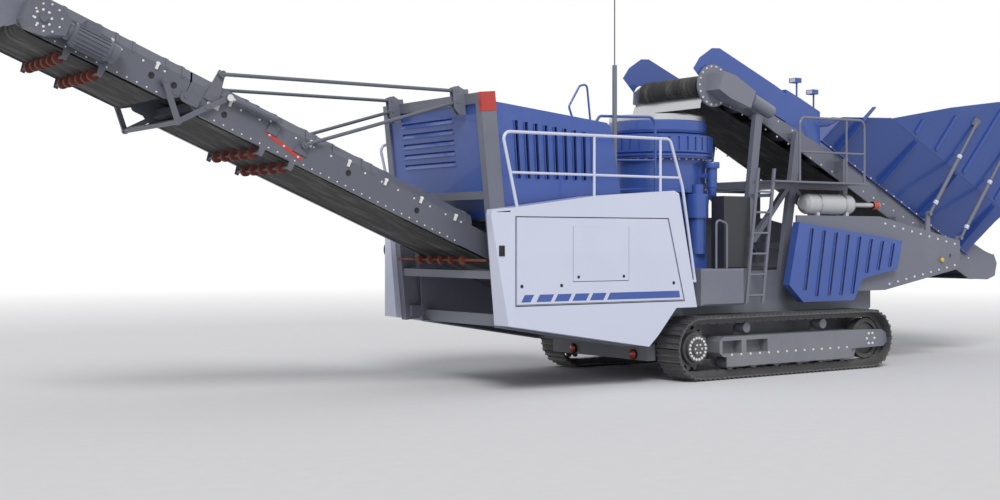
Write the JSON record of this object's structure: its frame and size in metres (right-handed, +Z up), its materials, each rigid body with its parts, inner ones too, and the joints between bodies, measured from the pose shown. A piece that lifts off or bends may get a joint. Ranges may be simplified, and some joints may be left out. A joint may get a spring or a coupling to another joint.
{
  "type": "tracked mobile crusher",
  "caption": "Tracked mobile cone crusher: feed hopper and belt at one end, crusher and power pack amidships, folding discharge conveyor at the other.",
  "frame": {"origin": "ground level under the middle of the machine's length and width", "axes": "+X towards the feed hopper end, +Y across to the side away from the ladder, +Z up"},
  "size_m": [17, 3.8606, 5.1],
  "materials": {
    "track_steel": "worn steel",
    "frame_grey": "satin",
    "blue_paint": "semi-gloss",
    "white_paint": "semi-gloss",
    "dark_paint": "satin",
    "drive_grey": "satin",
    "cast_engine": "painted casting",
    "cast_steel": "worn manganese steel",
    "belt_rubber": "dusty",
    "disc_rubber": "matt",
    "rod_chrome": "polished"
  },
  "bodies": {
    "machine": {"track_near": "track_steel", "track_far": "track_steel", "track_frame_near": "frame_grey", "track_frame_far": "frame_grey", "chassis_frame": "frame_grey", "portal_frame": "frame_grey", "end_louvre_panel": "blue_paint", "power_housing": "blue_paint", "engine_block": "cast_engine", "bonnet_near": "white_paint", "bonnet_far": "white_paint", "walkway_rails": "white_paint", "discharge_frame": "frame_grey", "discharge_belt_lower": "belt_rubber", "discharge_hood_lower": "frame_grey", "return_discs_lower": "disc_rubber", "stay_rods": "frame_grey", "crusher_base": "frame_grey", "crusher_bowl": "blue_paint", "feed_ring": "blue_paint", "accumulator_post": "blue_paint", "feed_belt": "belt_rubber", "feed_frame": "frame_grey", "feed_drive": "drive_grey", "hopper_base": "frame_grey", "feed_support": "frame_grey", "service_platform": "frame_grey", "side_boxes": "frame_grey", "control_cabinet": "dark_paint", "fluid_tank": "blue_paint", "antenna_mast": "frame_grey", "feed_guards": "blue_paint"},
    "discharge_outer": {"discharge_outer_frame": "frame_grey", "discharge_belt_upper": "belt_rubber", "discharge_hood_upper": "frame_grey", "return_discs_upper": "disc_rubber", "discharge_drive": "drive_grey", "scraper_cover": "frame_grey"},
    "discharge_drum": {"discharge_head_drum": "track_steel"},
    "fold_levers": {"fold_lever": "frame_grey"},
    "fold_link_pair": {"fold_links": "frame_grey"},
    "fold_barrel_pair": {"fold_barrels": "frame_grey"},
    "fold_rod_pair": {"fold_rods": "rod_chrome"},
    "feed_drum": {"feed_head_drum": "track_steel"},
    "crusher_rotor": {"crusher_cone": "cast_steel"},
    "wing_near": {"hopper_wing_near": "frame_grey", "wing_struts_near": "frame_grey"},
    "wing_far": {"hopper_wing_far": "frame_grey", "wing_struts_far": "frame_grey"},
    "rear_flap": {"hopper_rear_flap": "frame_grey"},
    "door_near": {"bonnet_door_near": "white_paint"},
    "door_far": {"bonnet_door_far": "white_paint"},
    "flap_near": {"service_flap_near": "white_paint"},
    "flap_far": {"service_flap_far": "white_paint"},
    "cover_near": {"side_cover_near": "blue_paint"},
    "cover_far": {"side_cover_far": "blue_paint"},
    "sprocket_n": {"sprocket_near": "track_steel"},
    "sprocket_f": {"sprocket_far": "track_steel"},
    "idler_n": {"idler_near": "track_steel"},
    "idler_f": {"idler_far": "track_steel"}
  },
  "joints": [
    {"name": "discharge_fold", "type": "hinge", "parent": "machine", "child": "discharge_outer", "pos_m": [-6.33976, 0, 3.45], "axis": [0, -1, 0], "range_deg": [0, 110]},
    {"name": "discharge_drum_turn", "type": "hinge", "parent": "discharge_outer", "child": "discharge_drum", "pos_m": [-7.94418, 0, 4.12865], "axis": [0, 1, 0], "continuous": true},
    {"name": "fold_lever_swing", "type": "hinge", "parent": "machine", "child": "fold_levers", "pos_m": [-6.11045, 0, 3.33987], "axis": [0, 1, 0], "range_deg": [-90, 0]},
    {"name": "fold_link_swing", "type": "hinge", "parent": "discharge_outer", "child": "fold_link_pair", "pos_m": [-6.60015, 0, 3.60008], "axis": [0, 1, 0], "range_deg": [-5, 90]},
    {"name": "fold_barrel_swing", "type": "hinge", "parent": "machine", "child": "fold_barrel_pair", "pos_m": [-5.25023, 0, 3.23467], "axis": [0, 1, 0], "range_deg": [-2, 2]},
    {"name": "fold_rod_slide", "type": "slide", "parent": "fold_barrel_pair", "child": "fold_rod_pair", "axis": [-0.9359, 0, 0.3522], "range_m": [0, 0.4]},
    {"name": "feed_drum_turn", "type": "hinge", "parent": "machine", "child": "feed_drum", "pos_m": [1.53, 0, 4.07345], "axis": [0, 1, 0], "continuous": true},
    {"name": "crusher_turn", "type": "hinge", "parent": "machine", "child": "crusher_rotor", "pos_m": [1.18, 0, 2.5], "axis": [0, 0, 1], "continuous": true},
    {"name": "wing_near_fold", "type": "hinge", "parent": "machine", "child": "wing_near", "pos_m": [4.12516, -1.2899, 4.06668], "axis": [-0.8988, 0, 0.4384], "range_deg": [0, 55]},
    {"name": "wing_far_fold", "type": "hinge", "parent": "machine", "child": "wing_far", "pos_m": [4.12516, 1.2899, 4.06668], "axis": [0.8988, 0, -0.4384], "range_deg": [0, 55]},
    {"name": "rear_flap_fold", "type": "hinge", "parent": "machine", "child": "rear_flap", "pos_m": [7.46509, 0, 1.90392], "axis": [0, 1, 0], "range_deg": [0, 70]},
    {"name": "bonnet_door_near_lift", "type": "hinge", "parent": "machine", "child": "door_near", "pos_m": [-1.2, -1.5, 2.16485], "axis": [-1, 0, 0], "range_deg": [0, 90]},
    {"name": "bonnet_door_far_lift", "type": "hinge", "parent": "machine", "child": "door_far", "pos_m": [-1.2, 1.5, 2.16485], "axis": [1, 0, 0], "range_deg": [0, 90]},
    {"name": "service_flap_near_lift", "type": "hinge", "parent": "door_near", "child": "flap_near", "pos_m": [-1.11, -1.5, 2.05985], "axis": [-1, 0, 0], "range_deg": [0, 90]},
    {"name": "service_flap_far_lift", "type": "hinge", "parent": "door_far", "child": "flap_far", "pos_m": [-1.11, 1.5, 2.05985], "axis": [1, 0, 0], "range_deg": [0, 90]},
    {"name": "side_cover_near_lift", "type": "hinge", "parent": "machine", "child": "cover_near", "pos_m": [2.72, -1.20015, 2.15], "axis": [-0.9931, 0, 0.1171], "range_deg": [0, 75]},
    {"name": "side_cover_far_lift", "type": "hinge", "parent": "machine", "child": "cover_far", "pos_m": [2.72, 1.20015, 2.15], "axis": [0.9931, 0, -0.1171], "range_deg": [0, 75]},
    {"name": "sprocket_near_turn", "type": "hinge", "parent": "machine", "child": "sprocket_n", "pos_m": [0.625, -1.275, 0.435], "axis": [0, 1, 0], "continuous": true},
    {"name": "idler_near_turn", "type": "hinge", "parent": "machine", "child": "idler_n", "pos_m": [4.125, -1.275, 0.435], "axis": [0, 1, 0], "continuous": true},
    {"name": "sprocket_far_turn", "type": "hinge", "parent": "machine", "child": "sprocket_f", "pos_m": [0.625, 1.275, 0.435], "axis": [0, 1, 0], "continuous": true},
    {"name": "idler_far_turn", "type": "hinge", "parent": "machine", "child": "idler_f", "pos_m": [4.125, 1.275, 0.435], "axis": [0, 1, 0], "continuous": true}
  ],
  "couplings": [
    {"joint": "fold_lever_swing", "follows": "discharge_fold", "ratio": -0.777},
    {"joint": "fold_link_swing", "follows": "discharge_fold", "ratio": 0.55},
    {"joint": "fold_barrel_swing", "follows": "discharge_fold", "ratio": 0.006},
    {"joint": "fold_rod_slide", "follows": "discharge_fold", "m_per_rad": 0.2031},
    {"joint": "idler_near_turn", "follows": "sprocket_near_turn", "ratio": 1},
    {"joint": "idler_far_turn", "follows": "sprocket_far_turn", "ratio": 1}
  ]
}
